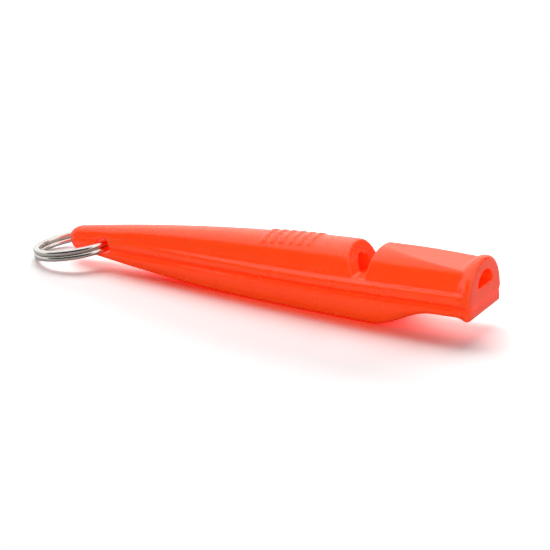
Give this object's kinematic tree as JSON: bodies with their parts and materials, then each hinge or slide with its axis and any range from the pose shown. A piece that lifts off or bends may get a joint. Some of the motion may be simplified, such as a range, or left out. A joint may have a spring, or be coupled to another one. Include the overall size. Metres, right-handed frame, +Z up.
{
  "type": "whistle",
  "caption": "Slim pealess whistle: a tapered half-round barrel with windway, window and lipped mouthpiece, and a split ring through the eye in its tail for a lanyard.",
  "frame": {"origin": "on the table plane, under the centre of the bounding box of the whistle as it lies on its belly flat", "axes": "+X towards the mouth end, +Y across the whistle, +Z up out of the barrel's crown side"},
  "size_m": [0.088, 0.0156, 0.0132],
  "materials": {
    "body_plastic": "orange-red moulded plastic with a soft sheen",
    "ring_steel": "bright nickel-plated spring steel wire"
  },
  "bodies": {
    "whistle": {"upper_moulding": "body_plastic", "lower_moulding": "body_plastic"},
    "ring": {"split_ring": "ring_steel"}
  },
  "joints": [
    {"name": "ring_swing", "type": "hinge", "parent": "whistle", "child": "ring", "pos_m": [-0.02934, 0, 0.0038], "axis": [0, 1, 0], "range_deg": [-150, 160]}
  ]
}
